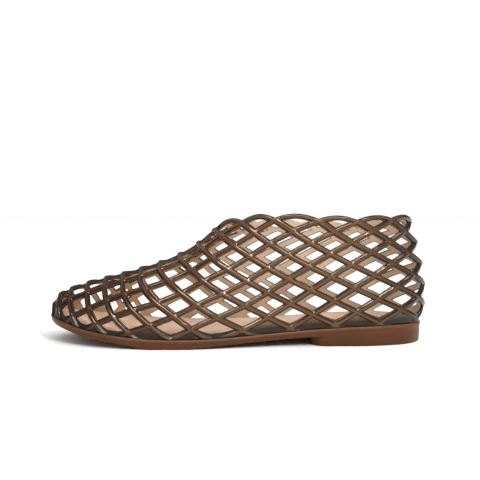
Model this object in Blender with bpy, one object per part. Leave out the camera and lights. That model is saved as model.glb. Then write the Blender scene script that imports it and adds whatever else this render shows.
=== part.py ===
# Caged jelly ballet flat, left shoe: moulded lattice upper, insole, outsole and low heel.
# Sizes are in millimetres until a mesh is made. The toe points to -X, the outer side of the foot
# is at -Y and the shoe stands on z = 0.
import bisect
import functools
import math

import bmesh
import bpy
import numpy as np

MM = 0.001
SAME_PLACE = 1e-6
LEAST_ROWS = 0.02

# Clearance between pieces that touch.
SEAT_GAP = 0.3

# Moulded strips: width, and heights of their faces above the wall's middle surface.
STRIP_WIDTH = 3.8
INNER_FACE = -1.2
STRIP_EDGE = 0.5
OVER_CREST = 1.6
UNDER_CREST = 1.1
RAND_FACE = 0.9
WEB_FACE = 0.4

# Lattice layout. A column runs from the feather line to the ridge or collar, a row runs round the foot.
TOE_COLUMN = -2.75
THROAT_COLUMN = 8
BACK_COLUMN = 20
COLLAR_ROW = 8
FIRST_OPEN_COLUMN = 0
LEAST_OPEN_ROWS = 0.4
CORNER_PULL = 0.94
ARCH_RISE = 0.4
ARCH_CELL_DROP = 0.15
RIM_ROWS = 0.23
THROAT_RIM = 0.3
BULGE_SKEW = 0.7
SWAY_SKEW = 1.6
TUCK_FROM = 0.85

# Sole edge outside the feather line, and the steps of its side.
SOLE_MARGIN = 2.4
SOLE_STATIONS = 30
WELT_DEPTH = 2.0
WELT_STEP = 0.5
EDGE_ROUND = 0.5
TREAD_ROUND = 1.0

INSOLE_THICKNESS = 2.0
INSOLE_ROUND = 0.6
INSOLE_INSET = 1.8

HEEL_BREAST_X = 45.5
HEEL_CORNER = 10.0
HEEL_INSET = 0.7
HEEL_EDGE = 0.6
HEEL_LEAN = 0.6
HEEL_CORNER_STEPS = 5
HEEL_STATIONS = 16


def table(names, *rows):
    """Named columns of a short table, with the slope of a smooth curve through each column's values."""
    values = {name: np.array(column, float) for name, column in zip(names.split(), zip(*rows))}
    places = values[names.split()[0]]
    slopes = {name: np.gradient(column, places, edge_order=2) for name, column in values.items()}
    return {"places": places, "values": values, "slopes": slopes}


# Feather line, where the upper meets the sole: its row in the lattice, place along the shoe,
# middle and half width.
FEATHER = table(
    "column row x mid half",
    (-2.75, -2.75, -126.8, 5.0, 0.0),
    (-2.0, -2.74, -126.0, 5.0, 5.8),
    (-1.2, -2.72, -124.0, 4.8, 11.2),
    (0.0, -2.68, -120.4, 4.4, 17.0),
    (1.0, -2.64, -115.6, 3.9, 22.0),
    (2.5, -2.62, -105.6, 3.0, 28.6),
    (4.5, -2.60, -86.8, 1.8, 35.8),
    (6.0, -2.36, -69.9, 1.0, 38.8),
    (8.0, -1.95, -44.0, -0.2, 39.2),
    (9.6, -1.78, -23.0, -1.6, 36.2),
    (11.3, -1.42, 6.0, -2.4, 30.6),
    (13.0, -1.25, 32.0, -1.8, 27.4),
    (15.0, -1.22, 61.0, -0.7, 27.0),
    (16.9, -1.25, 88.0, 0.0, 26.2),
    (18.8, -1.32, 113.0, 0.0, 15.8),
    (19.4, -1.30, 117.9, 0.0, 8.4),
    (20.0, -1.28, 119.5, 0.0, 0.0),
)

# Top of each column: the ridge of the vamp up to the throat, then the crossings of the collar.
TOPLINE = table(
    "column x mid half height",
    (-2.75, -126.8, 5.0, 0.0, 17.2),
    (-2.0, -126.0, 5.0, 0.0, 23.0),
    (-1.2, -123.8, 5.0, 0.0, 27.6),
    (0.0, -115.4, 4.8, 0.0, 32.2),
    (1.0, -103.9, 4.5, 0.0, 36.2),
    (2.0, -91.9, 4.0, 0.0, 39.6),
    (4.0, -67.7, 3.0, 0.0, 46.2),
    (6.0, -41.0, 1.8, 0.0, 56.1),
    (7.0, -28.2, 1.2, 0.0, 63.6),
    (8.0, -17.5, 0.8, 0.0, 72.6),
    (9.0, -9.5, 0.4, 12.5, 77.0),
    (10.0, 1.0, 0.0, 21.0, 78.9),
    (12.0, 22.5, 0.0, 29.0, 80.8),
    (14.0, 50.3, 0.0, 31.0, 80.2),
    (16.0, 75.2, 0.0, 29.0, 79.7),
    (18.0, 98.8, 0.0, 20.5, 80.5),
    (19.0, 109.2, 0.0, 12.0, 80.0),
    (20.0, 115.3, 0.0, 0.0, 79.2),
)

# Shape of the wall between the two lines: turn of its section, in degrees, outward bulge, how late
# the column leans back towards its top, and how far its middle sways along the shoe.
WALL = table(
    "column turn bulge lean sway",
    (-2.75, 90.0, 0.0, 1.1, 0.0),
    (0.0, 90.0, 0.6, 1.45, 0.0),
    (1.0, 88.0, 0.8, 1.5, 0.0),
    (2.0, 82.0, 0.9, 1.28, 0.0),
    (4.0, 79.0, 1.2, 1.45, 0.0),
    (6.0, 62.0, 1.2, 2.0, 0.0),
    (7.0, 51.0, 1.2, 1.8, 0.0),
    (8.0, 42.0, 1.2, 1.5, 0.0),
    (9.0, 29.0, 1.3, 1.3, -0.6),
    (10.0, 20.0, 1.5, 1.1, -1.4),
    (12.0, 22.0, 2.0, 1.0, -3.0),
    (14.0, 32.0, 3.0, 1.0, -5.2),
    (16.0, 38.0, 4.0, 1.0, -4.8),
    (18.0, 30.0, 5.5, 1.0, -4.2),
    (19.0, 22.0, 6.2, 1.0, -4.0),
    (20.0, 15.0, 6.6, 1.0, 0.0),
)

# Inner side: how far its strips lie along the same wall, in columns, at the foot, half-way up and at the top,
# how far up the wall, as a share of its height, and how much lower its collar is
INNER = table(
    "column foot middle top lift drop",
    (-2.75, 0.0, 0.0, 0.0, 0.0, 0.0),
    (2.0, 0.8, 0.6, 0.0, 0.03, 0.0),
    (6.0, 0.05, -0.13, 0.0, 0.12, 0.0),
    (8.0, 0.07, -0.34, 0.0, 0.09, 0.0),
    (10.0, 0.1, -0.5, -0.6, 0.06, -2.8),
    (12.0, -0.16, -0.28, -0.82, 0.035, -4.1),
    (14.0, -0.4, -0.05, -0.47, 0.02, -4.2),
    (17.0, 0.12, -0.12, 0.05, 0.0, -3.8),
    (20.0, 0.0, 0.0, 0.0, 0.0, 0.0),
)

# Height of the solid rand above the feather line, in rows.
RAND = table(
    "column rows",
    (-2.75, 0.50),
    (4.0, 0.42),
    (10.0, 0.45),
    (14.0, 0.60),
    (20.0, 0.70),
)

# Outsole from toe to heel: height of its top and of its underside.
SOLE = table(
    "x top bottom",
    (-129.5, 17.4, 13.4),
    (-122.6, 15.7, 11.5),
    (-114.5, 13.8, 9.6),
    (-101.0, 10.9, 6.4),
    (-84.5, 8.6, 4.0),
    (-69.0, 7.2, 1.9),
    (-58.0, 6.3, 0.0),
    (-32.0, 5.9, 0.0),
    (-16.0, 6.3, 1.4),
    (4.0, 7.5, 3.0),
    (26.0, 9.2, 4.7),
    (46.0, 10.7, 5.9),
    (70.0, 12.2, 6.4),
    (96.0, 13.0, 6.6),
    (125.0, 13.0, 6.6),
)

# Colour, roughness and metallic value of each piece.
FINISHES = {
    "upper": ((0.085, 0.050, 0.032), 0.22, 0.0),
    "insole": ((0.660, 0.450, 0.310), 0.60, 0.0),
    "outsole": ((0.165, 0.062, 0.030), 0.45, 0.0),
    "heel": ((0.120, 0.048, 0.025), 0.45, 0.0),
}


def read(rows, name, at):
    """Value of a named column at a place, on a smooth curve through the table's rows."""
    places, values, slopes = rows["places"], rows["values"][name], rows["slopes"][name]
    i = min(max(bisect.bisect_left(places, at) - 1, 0), len(places) - 2)
    span = places[i + 1] - places[i]
    t = (at - places[i]) / span
    return (
        (1 + 2 * t) * (1 - t) ** 2 * values[i]
        + t * (1 - t) ** 2 * span * slopes[i]
        + t * t * (3 - 2 * t) * values[i + 1]
        - t * t * (1 - t) * span * slopes[i + 1]
    )


def sole_height(x, name):
    """Top or underside of the outsole. Straight runs keep the tread under the ball flat."""
    return float(np.interp(x, SOLE["places"], SOLE["values"][name]))


@functools.cache
def feather_plan(column, side, outset=0.0):
    """Point of the feather line seen from above, moved outwards by a margin."""
    step = 0.01

    def at(c):
        return np.array([read(FEATHER, "x", c), read(FEATHER, "mid", c) + side * read(FEATHER, "half", c)])

    before = at(max(column - step, TOE_COLUMN))
    along = at(min(column + step, BACK_COLUMN)) - before
    along /= np.linalg.norm(along)
    outward = side * np.array([-along[1], along[0]])
    if column <= TOE_COLUMN:
        outward = np.array([-1.0, 0.0])
    elif column >= BACK_COLUMN:
        outward = np.array([1.0, 0.0])
    return at(column) + outset * outward, outward


def slide_inner(column, row):
    """Place on the mirrored outer wall of a place in the inner side's lattice."""
    foot_row = read(FEATHER, "row", column)
    rows = max(min(column, COLLAR_ROW) - foot_row, SAME_PLACE)
    climb = min(max((row - foot_row) / rows, 0.0), 1.0)
    beyond = row - foot_row - climb * rows
    along = read(INNER, "foot", column) * (1 - climb) * (1 - 2 * climb)
    along += read(INNER, "middle", column) * 4 * climb * (1 - climb)
    along += read(INNER, "top", column) * climb * (2 * climb - 1)
    column = min(max(column + along, TOE_COLUMN), BACK_COLUMN)
    climb += read(INNER, "lift", column) * math.sin(math.pi * climb)
    foot_row = read(FEATHER, "row", column)
    return column, foot_row + (min(column, COLLAR_ROW) - foot_row) * climb + beyond


@functools.cache
def wall_middle(column, row, side):
    """Point of the upper's middle surface at a place in the lattice."""
    drop = 0.0
    if side > 0:
        drop = read(INNER, "drop", column)
        column, row = slide_inner(column, row)
    foot, outward = feather_plan(column, side)
    foot_row = read(FEATHER, "row", column)
    top_row = min(column, COLLAR_ROW)
    climb = (row - foot_row) / (top_row - foot_row) if top_row - foot_row > SAME_PLACE else 0.0
    turn = math.radians(read(WALL, "turn", column))
    across = (1 - math.cos(turn * climb)) / (1 - math.cos(turn))
    rise = math.sin(turn * climb) / math.sin(turn)
    share = min(max(climb, 0.0), 1.0)
    bulge = read(WALL, "bulge", column) * math.sin(math.pi * share ** BULGE_SKEW)
    sway = read(WALL, "sway", column) * math.sin(math.pi * share ** SWAY_SKEW)
    lean = max(climb, 0.0) ** read(WALL, "lean", column)
    tuck = max(share - TUCK_FROM, 0.0) / (1 - TUCK_FROM)
    top_x = read(TOPLINE, "x", column)
    top_y = read(TOPLINE, "mid", column) + side * read(TOPLINE, "half", column)
    base = sole_height(foot[0], "top") + SEAT_GAP
    return np.array([
        foot[0] + (top_x - foot[0]) * lean + sway + outward[0] * bulge,
        foot[1] + (top_y - foot[1]) * across + outward[1] * bulge,
        base + (read(TOPLINE, "height", column) - base) * rise + drop * tuck * tuck * (3 - 2 * tuck),
    ])


def wall_outward(column, row, side):
    """Outward direction of the upper's wall."""
    step = 0.02
    column = max(column, TOE_COLUMN + 4 * step)
    forward = min(column + step, BACK_COLUMN)
    lower = max(row, read(FEATHER, "row", column)) - step
    along = wall_middle(forward, lower, side) - wall_middle(forward - 2 * step, lower, side)
    up = wall_middle(column, lower + step, side) - wall_middle(column, lower - step, side)
    normal = side * np.cross(up, along)
    return normal / np.linalg.norm(normal)


def on_seam(column, row):
    """True where the two sides of the upper meet: on the ridge or up the middle of the back."""
    on_ridge = column <= THROAT_COLUMN and abs(column - row) < SAME_PLACE
    return on_ridge or abs(column - BACK_COLUMN) < SAME_PLACE


def wall_point(column, row, side, rise):
    """Point of the upper at a height above its middle surface."""
    sides = (-1, 1) if on_seam(column, row) else (side,)
    outward = sum(wall_outward(column, row, s) for s in sides)
    middle = sum(wall_middle(column, row, s) for s in sides) / len(sides)
    return middle + outward * rise / np.linalg.norm(outward)


def fold(column, side):
    """Column and side of a place, carried over to the other side where it lies past the back."""
    return (2 * BACK_COLUMN - column, -side) if column > BACK_COLUMN else (column, side)


def settle(column, row):
    """Keeps a lattice place on or above the feather line."""
    if column <= TOE_COLUMN:
        return TOE_COLUMN, TOE_COLUMN
    near, _ = fold(column, 1)
    return column, max(row, read(FEATHER, "row", near))


def without_spikes(outline):
    """Drops repeated places, and places where a line runs out along the feather line and back."""
    kept = list(outline)
    i = 0
    while i < len(kept):
        before, here, after = kept[i - 1], kept[i], kept[(i + 1) % len(kept)]
        if here == after or before == after:
            kept.pop(i)
            i = max(i - 2, 0)
        else:
            i += 1
    return kept


def cell_outline(column, row):
    """Eight lattice places round a cell: its corners and the middles of its edges."""
    if row == COLLAR_ROW:
        arch = [(column + s, row + ARCH_RISE * (1 - s * s)) for s in (1.0, 0.5, 0.0, -0.5)]
        lower = [(column - 1, row), (column - 0.5, row - 0.5), (column, row - 1), (column + 0.5, row - 0.5)]
        return lower + arch
    turns = ((-1, 0), (0, -1), (1, 0), (0, 1))
    places = []
    for (a, b), (c, d) in zip(turns, turns[1:] + turns[:1]):
        places.append((column + a, row + b))
        places.append((column + (a + c) / 2, row + (b + d) / 2))
    return places


def crest_rise(column, row, place):
    """Height of the strip's crest at a place on a cell's outline."""
    c, r = place
    near, _ = fold(c, 1)
    if r <= read(FEATHER, "row", near) + SAME_PLACE:
        return RAND_FACE
    is_corner = abs(c - round(c)) < SAME_PLACE
    if is_corner:
        return OVER_CREST
    falls_towards_heel = (c - column) * (r - row) > 0
    return OVER_CREST if falls_towards_heel else UNDER_CREST


class Sheet:
    """Vertices and faces of one solid, with shared vertices found again by their place."""

    def __init__(self):
        self.points = []
        self.faces = []
        self.found = {}

    def vertex(self, key, point):
        if key not in self.found:
            self.found[key] = len(self.points)
            self.points.append(point)
        return self.found[key]

    def add(self, *corners):
        kept = [v for i, v in enumerate(corners) if v != corners[i - 1]]
        if len(kept) > 2:
            self.faces.append(kept)

    def band(self, first, second):
        for i in range(len(first)):
            self.add(first[i - 1], first[i], second[i], second[i - 1])


def lattice_vertex(sheet, place, side, rise, layer):
    c, side = fold(place[0], side)
    r = place[1]
    key = (layer, 0 if on_seam(c, r) else side, round(c, 4), round(r, 4))
    return sheet.vertex(key, wall_point(c, r, side, rise))


def cell_radius(column, row, side):
    """Radius of the circle that a lattice cell would take."""
    corners = []
    for place, r in cell_outline(column, row)[::2]:
        c, s = fold(place, side)
        corners.append(wall_middle(c, r, s))
    across, along = corners[2] - corners[0], corners[3] - corners[1]
    area = 0.5 * np.linalg.norm(np.cross(across, along))
    perimeter = sum(np.linalg.norm(corners[i] - corners[i - 1]) for i in range(4))
    return 2 * area / perimeter


def hole_outline(column, row, side):
    """Places round an opening: the cell shrunk by half a strip, its foot cut off level by the rand."""
    keep = 1 - 0.5 * STRIP_WIDTH / cell_radius(column, row, side)
    middle = row - ARCH_CELL_DROP if row == COLLAR_ROW else row
    places = []
    for i, (c, r) in enumerate(cell_outline(column, row)):
        pull = keep * (CORNER_PULL if i % 2 == 0 else 1.0)
        c, r = column + pull * (c - column), middle + pull * (r - middle)
        near, _ = fold(c, side)
        places.append((c, max(r, read(FEATHER, "row", near) + read(RAND, "rows", near))))
    return places


def lattice_cells():
    """Column, row and side of each cell that reaches above the feather line."""
    for side in (-1, 1):
        for column in range(-3, BACK_COLUMN):
            for row in range(-4, min(column, COLLAR_ROW + 1)):
                if (column + row) % 2 and row + 1 > read(FEATHER, "row", max(column, TOE_COLUMN)) + LEAST_ROWS:
                    yield column, row, side
    for row in range(-1, COLLAR_ROW, 2):
        yield BACK_COLUMN, row, -1


def is_open(column, row):
    foot_row = read(FEATHER, "row", column)
    return column >= FIRST_OPEN_COLUMN and row - foot_row > LEAST_OPEN_ROWS


def add_cell(sheet, edges, column, row, side):
    """Outer and inner faces of one cell, with its opening or its solid web."""
    outline = without_spikes([settle(*place) for place in cell_outline(column, row)])
    outer = [lattice_vertex(sheet, p, side, crest_rise(column, row, p), "outer") for p in outline]
    inner = [lattice_vertex(sheet, p, side, INNER_FACE, "inner") for p in outline]
    for i, place in enumerate(outline):
        edge = (outer[i - 1], outer[i])
        if edge[0] != edge[1]:
            entry = edges.setdefault(frozenset(edge), [])
            entry.append((outline[i - 1], place, outer[i - 1], outer[i], inner[i - 1], inner[i], side))
    name = (column, row, side)
    if is_open(column, row):
        hole = hole_outline(column, row, side)
        outer_edge = []
        inner_edge = []
        for i, (place, r) in enumerate(hole):
            c, s = fold(place, side)
            outer_edge.append(sheet.vertex(("hole", name, i), wall_point(c, r, s, STRIP_EDGE)))
            inner_edge.append(sheet.vertex(("hole inside", name, i), wall_point(c, r, s, INNER_FACE)))
        sheet.band(outer, outer_edge)
        sheet.band(outer_edge, inner_edge)
        sheet.band(inner_edge, inner)
        return
    middle, r = np.mean(np.array(list(dict.fromkeys(outline))), axis=0)
    c, s = fold(middle, side)
    web = sheet.vertex(("web", name), wall_point(c, r, s, WEB_FACE))
    web_inside = sheet.vertex(("web inside", name), wall_point(c, r, s, INNER_FACE))
    for i in range(len(outline)):
        if outer[i - 1] != outer[i]:
            sheet.add(outer[i - 1], outer[i], web)
            sheet.add(inner[i], inner[i - 1], web_inside)


def rim_places(place, side):
    """Outer and inner vertices' points of the collar rim above a place on an arch."""
    c, side = fold(place[0], side)
    r = place[1]
    if c == THROAT_COLUMN:
        c, r = c + THROAT_RIM, r + THROAT_RIM
        pairs = [(wall_point(c, r, s, STRIP_EDGE), wall_point(c, r, s, INNER_FACE)) for s in (-1, 1)]
        return [(a + b) / 2 for a, b in zip(*pairs)]
    return [wall_point(c, r + RIM_ROWS, side, rise) for rise in (STRIP_EDGE, INNER_FACE)]


def close_edges(sheet, edges):
    """Closes the wall at the feather line and rounds the collar over."""
    for entry in edges.values():
        if len(entry) > 1:
            continue
        first, second, outer_a, outer_b, inner_a, inner_b, side = entry[0]
        if min(first[1], second[1]) < COLLAR_ROW - LEAST_ROWS:
            sheet.add(outer_a, outer_b, inner_b, inner_a)
            continue
        rim = []
        for place, outer in ((first, outer_a), (second, outer_b)):
            points = rim_places(place, side)
            rim.append([sheet.vertex((layer, outer), p) for layer, p in zip(("rim", "rim inside"), points)])
        (out_a, in_a), (out_b, in_b) = rim
        sheet.add(outer_a, outer_b, out_b, out_a)
        sheet.add(out_a, out_b, in_b, in_a)
        sheet.add(in_a, in_b, inner_b, inner_a)


def upper_sheet():
    sheet = Sheet()
    edges = {}
    for column, row, side in lattice_cells():
        add_cell(sheet, edges, column, row, side)
    close_edges(sheet, edges)
    return sheet


def ladder(sheet, ring):
    """Fills a ring whose two sides run in step from its front to its back."""
    count = len(ring)
    half = count // 2
    for i in range(half):
        sheet.add(ring[i], ring[i + 1], ring[(count - 1 - i) % count], ring[-i % count])


def stacked_rings(rings, fill):
    """Solid through rings of points, filled across at the first and the last."""
    sheet = Sheet()
    loops = []
    for level, ring in enumerate(rings):
        loops.append([sheet.vertex((level, i), point) for i, point in enumerate(ring)])
    for lower, upper in zip(loops, loops[1:]):
        sheet.band(lower, upper)
    fill(sheet, loops[0])
    fill(sheet, loops[-1])
    return sheet


def sole_ring(inset, height):
    """Ring round the sole, a distance inside its edge, at a height worked out from each place."""
    columns = np.linspace(TOE_COLUMN, BACK_COLUMN, SOLE_STATIONS + 1)
    walk = [(c, -1) for c in columns] + [(c, 1) for c in columns[-2:0:-1]]
    ring = []
    for column, side in walk:
        (x, y), _ = feather_plan(column, side, SOLE_MARGIN - inset)
        ring.append(np.array([x, y, height(x)]))
    return ring


def outsole_sheet():
    def top(drop):
        return lambda x: sole_height(x, "top") - drop

    def bottom(lift):
        return lambda x: sole_height(x, "bottom") + lift

    return stacked_rings([
        sole_ring(EDGE_ROUND, top(0.0)),
        sole_ring(0.0, top(EDGE_ROUND)),
        sole_ring(0.0, top(WELT_DEPTH)),
        sole_ring(WELT_STEP, top(WELT_DEPTH + 0.5 * WELT_STEP)),
        sole_ring(WELT_STEP, bottom(TREAD_ROUND)),
        sole_ring(WELT_STEP + TREAD_ROUND, bottom(0.0)),
    ], ladder)


def insole_sheet():
    def layer(rise):
        return lambda x: sole_height(x, "top") + SEAT_GAP + rise

    inset = SOLE_MARGIN + INSOLE_INSET
    return stacked_rings([
        sole_ring(inset, layer(0.0)),
        sole_ring(inset, layer(INSOLE_THICKNESS - INSOLE_ROUND)),
        sole_ring(inset + INSOLE_ROUND, layer(INSOLE_THICKNESS)),
    ], ladder)


def column_at(x):
    """Column whose feather point lies at a place along the shoe."""
    columns = np.linspace(TOE_COLUMN, BACK_COLUMN, 400)
    return float(np.interp(x, [read(FEATHER, "x", c) for c in columns], columns))


def heel_ring(inset, height):
    """Ring round the heel: straight breast, round corners, then the sole's own outline."""
    start = column_at(HEEL_BREAST_X + HEEL_CORNER)
    columns = np.linspace(start, BACK_COLUMN, HEEL_STATIONS + 1)
    margin = SOLE_MARGIN - HEEL_INSET - inset
    sides = {}
    for side in (-1, 1):
        outline = [feather_plan(c, side, margin)[0] for c in columns]
        corner = []
        for i in range(HEEL_CORNER_STEPS):
            angle = 0.5 * math.pi * i / HEEL_CORNER_STEPS
            reach = HEEL_CORNER * (1 - math.cos(angle)) + inset * math.cos(angle)
            tuck = HEEL_CORNER * (1 - math.sin(angle))
            corner.append(np.array([HEEL_BREAST_X + reach, outline[0][1] - side * tuck]))
        sides[side] = corner + outline
    walk = sides[-1] + sides[1][-2::-1]
    return [np.array([x, y, height(x)]) for x, y in walk]


def heel_ladder(sheet, ring):
    """Fills a heel ring, whose breast is an edge and whose back is a point."""
    last = len(ring) - 1
    for i in range(last // 2):
        sheet.add(ring[i], ring[i + 1], ring[last - i - 1], ring[last - i])


def heel_sheet():
    def top(x):
        return sole_height(x, "bottom") - SEAT_GAP

    return stacked_rings([
        heel_ring(0.0, top),
        heel_ring(HEEL_LEAN, lambda x: HEEL_EDGE),
        heel_ring(HEEL_LEAN + HEEL_EDGE, lambda x: 0.0),
    ], heel_ladder)


def finish_material(name):
    colour, roughness, metallic = FINISHES[name]
    material = bpy.data.materials.new(name + "_finish")
    material.use_nodes = True
    shader = material.node_tree.nodes["Principled BSDF"]
    shader.inputs["Base Color"].default_value = (*colour, 1.0)
    shader.inputs["Roughness"].default_value = roughness
    shader.inputs["Metallic"].default_value = metallic
    return material


def make_piece(name, sheet, centre):
    """Closed mesh object of one piece, in metres, with its faces turned out."""
    mesh = bpy.data.meshes.new(name)
    points = [tuple((point - centre) * MM) for point in sheet.points]
    mesh.from_pydata(points, [], sheet.faces)
    work = bmesh.new()
    work.from_mesh(mesh)
    bmesh.ops.triangulate(work, faces=work.faces[:])
    bmesh.ops.recalc_face_normals(work, faces=work.faces[:])
    work.to_mesh(mesh)
    work.free()
    mesh.shade_smooth()
    mesh.set_sharp_from_angle(angle=math.radians(35))
    mesh.materials.append(finish_material(name))
    piece = bpy.data.objects.new(name, mesh)
    bpy.context.scene.collection.objects.link(piece)
    return piece


def main():
    for old in list(bpy.data.objects):
        bpy.data.objects.remove(old)
    sheets = {
        "upper": upper_sheet(),
        "insole": insole_sheet(),
        "outsole": outsole_sheet(),
        "heel": heel_sheet(),
    }
    every_point = np.array([point for sheet in sheets.values() for point in sheet.points])
    centre = (every_point.min(axis=0) + every_point.max(axis=0)) / 2
    centre[2] = 0.0
    shoe = bpy.data.objects.new("shoe", None)
    bpy.context.scene.collection.objects.link(shoe)
    for name, sheet in sheets.items():
        make_piece(name, sheet, centre).parent = shoe


main()
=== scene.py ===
# Looks of a caged jelly flat: moulded strips, tan insole, red-brown sole and low heel
import math

import bmesh
import bpy
import numpy as np
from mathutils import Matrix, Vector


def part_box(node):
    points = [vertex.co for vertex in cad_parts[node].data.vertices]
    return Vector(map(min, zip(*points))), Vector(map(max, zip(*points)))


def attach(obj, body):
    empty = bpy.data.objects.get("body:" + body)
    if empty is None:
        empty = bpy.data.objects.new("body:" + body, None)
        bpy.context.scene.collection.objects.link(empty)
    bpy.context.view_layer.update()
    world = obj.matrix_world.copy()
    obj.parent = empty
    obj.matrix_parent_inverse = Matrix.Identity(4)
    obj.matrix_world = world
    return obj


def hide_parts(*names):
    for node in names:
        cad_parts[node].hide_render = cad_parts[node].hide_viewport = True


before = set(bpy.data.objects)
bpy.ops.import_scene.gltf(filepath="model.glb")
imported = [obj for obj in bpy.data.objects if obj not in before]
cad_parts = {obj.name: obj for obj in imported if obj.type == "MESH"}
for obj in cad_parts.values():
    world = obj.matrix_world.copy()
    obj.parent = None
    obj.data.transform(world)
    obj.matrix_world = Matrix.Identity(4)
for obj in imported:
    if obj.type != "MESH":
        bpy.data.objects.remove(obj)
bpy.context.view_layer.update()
print("frame loaded:", ", ".join(sorted(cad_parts)))

mm = 0.001  # the last is drawn in millimetres, meshes are in metres


def table(names, *rows):  # named columns, with the slope of a smooth curve through each
    values = {name: np.array(column, float) for name, column in zip(names.split(), zip(*rows))}
    places = values[names.split()[0]]
    slopes = {name: np.gradient(column, places, edge_order=2) for name, column in values.items()}
    return {"places": places, "values": values, "slopes": slopes}


# The last: feather line, topline, wall between them, rand, and the two faces of the sole
lastShape = {
    "toeColumn": -2.75,
    "throatColumn": 8,
    "backColumn": 20,
    "collarRow": 8,
    "seatGap": 0.3,  # clearance between the sole and what stands on it
    "bulgeSkew": 0.7,  # below 1 the wall's belly sits low, above 1 high
    "swaySkew": 1.6,
    "tuckFrom": 0.85,  # share of the wall above which the inner collar is drawn down
    "feather": table(  # where the wall meets the sole
        "column row x mid half",
        (-2.75, -2.75, -126.8, 5.0, 0.0),
        (-2.0, -2.74, -126.0, 5.0, 5.8),
        (-1.2, -2.72, -124.0, 4.8, 11.2),
        (0.0, -2.68, -120.4, 4.4, 17.0),
        (1.0, -2.64, -115.6, 3.9, 22.0),
        (2.5, -2.62, -105.6, 3.0, 28.6),
        (4.5, -2.60, -86.8, 1.8, 35.8),
        (6.0, -2.36, -69.9, 1.0, 38.8),
        (8.0, -1.95, -44.0, -0.2, 39.2),
        (9.6, -1.78, -23.0, -1.6, 36.2),
        (11.3, -1.42, 6.0, -2.4, 30.6),
        (13.0, -1.25, 32.0, -1.8, 27.4),
        (15.0, -1.22, 61.0, -0.7, 27.0),
        (16.9, -1.25, 88.0, 0.0, 26.2),
        (18.8, -1.32, 113.0, 0.0, 15.8),
        (19.4, -1.30, 117.9, 0.0, 8.4),
        (20.0, -1.28, 119.5, 0.0, 0.0),
    ),
    "topline": table(  # the ridge over the toes, then the collar
        "column x mid half height",
        (-2.75, -126.8, 5.0, 0.0, 17.2),
        (-2.0, -126.0, 5.0, 0.0, 23.0),
        (-1.2, -123.8, 5.0, 0.0, 27.6),
        (0.0, -115.4, 4.8, 0.0, 32.2),
        (1.0, -103.9, 4.5, 0.0, 36.2),
        (2.0, -91.9, 4.0, 0.0, 39.6),
        (4.0, -67.7, 3.0, 0.0, 46.2),
        (6.0, -41.0, 1.8, 0.0, 56.1),
        (7.0, -28.2, 1.2, 0.0, 63.6),
        (8.0, -17.5, 0.8, 0.0, 72.6),
        (9.0, -9.5, 0.4, 12.5, 77.0),
        (10.0, 1.0, 0.0, 21.0, 78.9),
        (12.0, 22.5, 0.0, 29.0, 80.8),
        (14.0, 50.3, 0.0, 31.0, 80.2),
        (16.0, 75.2, 0.0, 29.0, 79.7),
        (18.0, 98.8, 0.0, 20.5, 80.5),
        (19.0, 109.2, 0.0, 12.0, 80.0),
        (20.0, 115.3, 0.0, 0.0, 79.2),
    ),
    "wall": table(  # degrees that it turns inwards on the way up, its belly, and its lean along the shoe
        "column turn bulge lean sway",
        (-2.75, 90.0, 0.0, 1.1, 0.0),
        (0.0, 90.0, 0.6, 1.45, 0.0),
        (1.0, 88.0, 0.8, 1.5, 0.0),
        (2.0, 82.0, 0.9, 1.28, 0.0),
        (4.0, 79.0, 1.2, 1.45, 0.0),
        (6.0, 62.0, 1.2, 2.0, 0.0),
        (7.0, 51.0, 1.2, 1.8, 0.0),
        (8.0, 42.0, 1.2, 1.5, 0.0),
        (9.0, 29.0, 1.3, 1.3, -0.6),
        (10.0, 20.0, 1.5, 1.1, -1.4),
        (12.0, 22.0, 2.0, 1.0, -3.0),
        (14.0, 32.0, 3.0, 1.0, -5.2),
        (16.0, 38.0, 4.0, 1.0, -4.8),
        (18.0, 30.0, 5.5, 1.0, -4.2),
        (19.0, 22.0, 6.2, 1.0, -4.0),
        (20.0, 15.0, 6.6, 1.0, 0.0),
    ),
    "inner": table(  # how far the inner side's strips lie along the wall, in columns, and up it
        "column foot middle top lift drop",
        (-2.75, 0.0, 0.0, 0.0, 0.0, 0.0),
        (2.0, 0.8, 0.6, 0.0, 0.03, 0.0),
        (6.0, 0.05, -0.13, 0.0, 0.12, 0.0),
        (8.0, 0.07, -0.34, 0.0, 0.09, 0.0),
        (10.0, 0.1, -0.5, -0.6, 0.06, -2.8),
        (12.0, -0.16, -0.28, -0.82, 0.035, -4.1),
        (14.0, -0.4, -0.05, -0.47, 0.02, -4.2),
        (17.0, 0.12, -0.12, 0.05, 0.0, -3.8),
        (20.0, 0.0, 0.0, 0.0, 0.0, 0.0),
    ),
    "rand": table(  # solid band above the feather line
        "column rows",
        (-2.75, 0.38),
        (4.0, 0.2),
        (10.0, 0.22),
        (14.0, 0.36),
        (20.0, 0.46),
    ),
    "sole": table(  # heights of its two faces
        "x top bottom",
        (-129.5, 17.4, 13.4),
        (-122.6, 15.7, 11.5),
        (-114.5, 13.8, 9.6),
        (-101.0, 10.9, 6.4),
        (-84.5, 8.6, 4.0),
        (-69.0, 7.2, 1.9),
        (-58.0, 6.3, 0.0),
        (-32.0, 5.9, 0.0),
        (-16.0, 6.3, 1.4),
        (4.0, 7.5, 3.0),
        (26.0, 9.2, 4.7),
        (46.0, 10.7, 5.9),
        (70.0, 12.2, 6.4),
        (96.0, 13.0, 6.6),
        (125.0, 13.0, 6.6),
    ),
}
toeColumn = lastShape["toeColumn"]
throatColumn = lastShape["throatColumn"]
backColumn = lastShape["backColumn"]
collarRow = lastShape["collarRow"]
samePlace = 1e-6
leastRows = 0.02  # less than this of a row counts as none


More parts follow.
